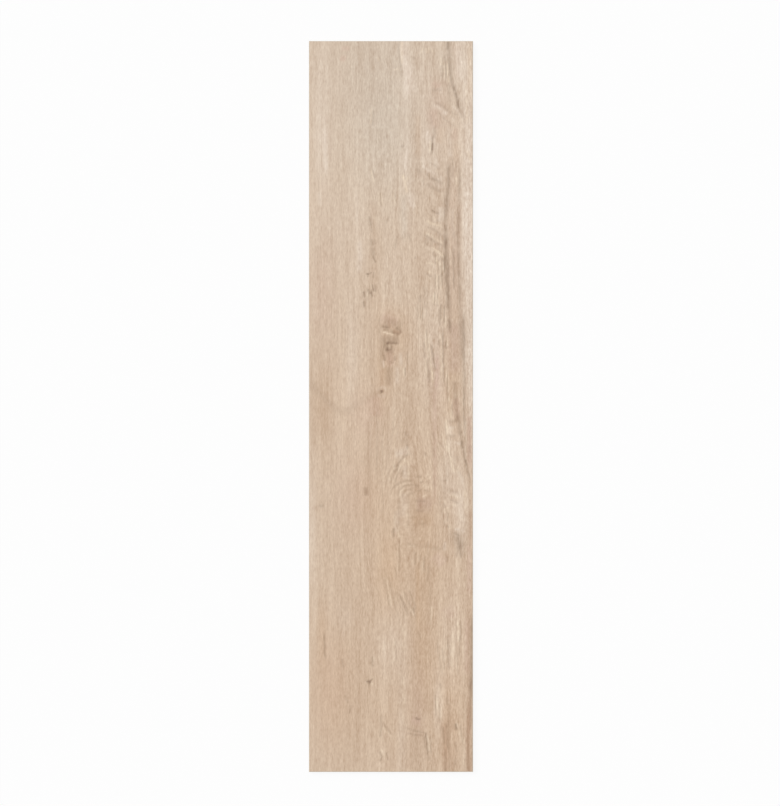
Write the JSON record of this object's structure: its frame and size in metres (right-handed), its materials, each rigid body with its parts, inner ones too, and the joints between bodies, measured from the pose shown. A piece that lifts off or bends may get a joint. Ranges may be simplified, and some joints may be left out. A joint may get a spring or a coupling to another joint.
{
  "type": "wood look porcelain plank tile",
  "caption": "Long rectangular porcelain floor tile with a pale oak wood-grain face, square ground edges with a fine bevel, and a cell-patterned back that keys into adhesive.",
  "frame": {"origin": "centre of the back, on the plane of the ribs that rest on the floor", "axes": "+X across the plank, +Y along the plank towards the end shown at the top of the picture, +Z out of the printed face"},
  "size_m": [0.202, 0.9, 0.01],
  "materials": {
    "porcelain": "matt glazed porcelain stoneware printed and embossed as pale oak on the face, bare fired body on the edges and back"
  },
  "bodies": {
    "root": {"plank_tile": "porcelain"}
  },
  "joints": []
}
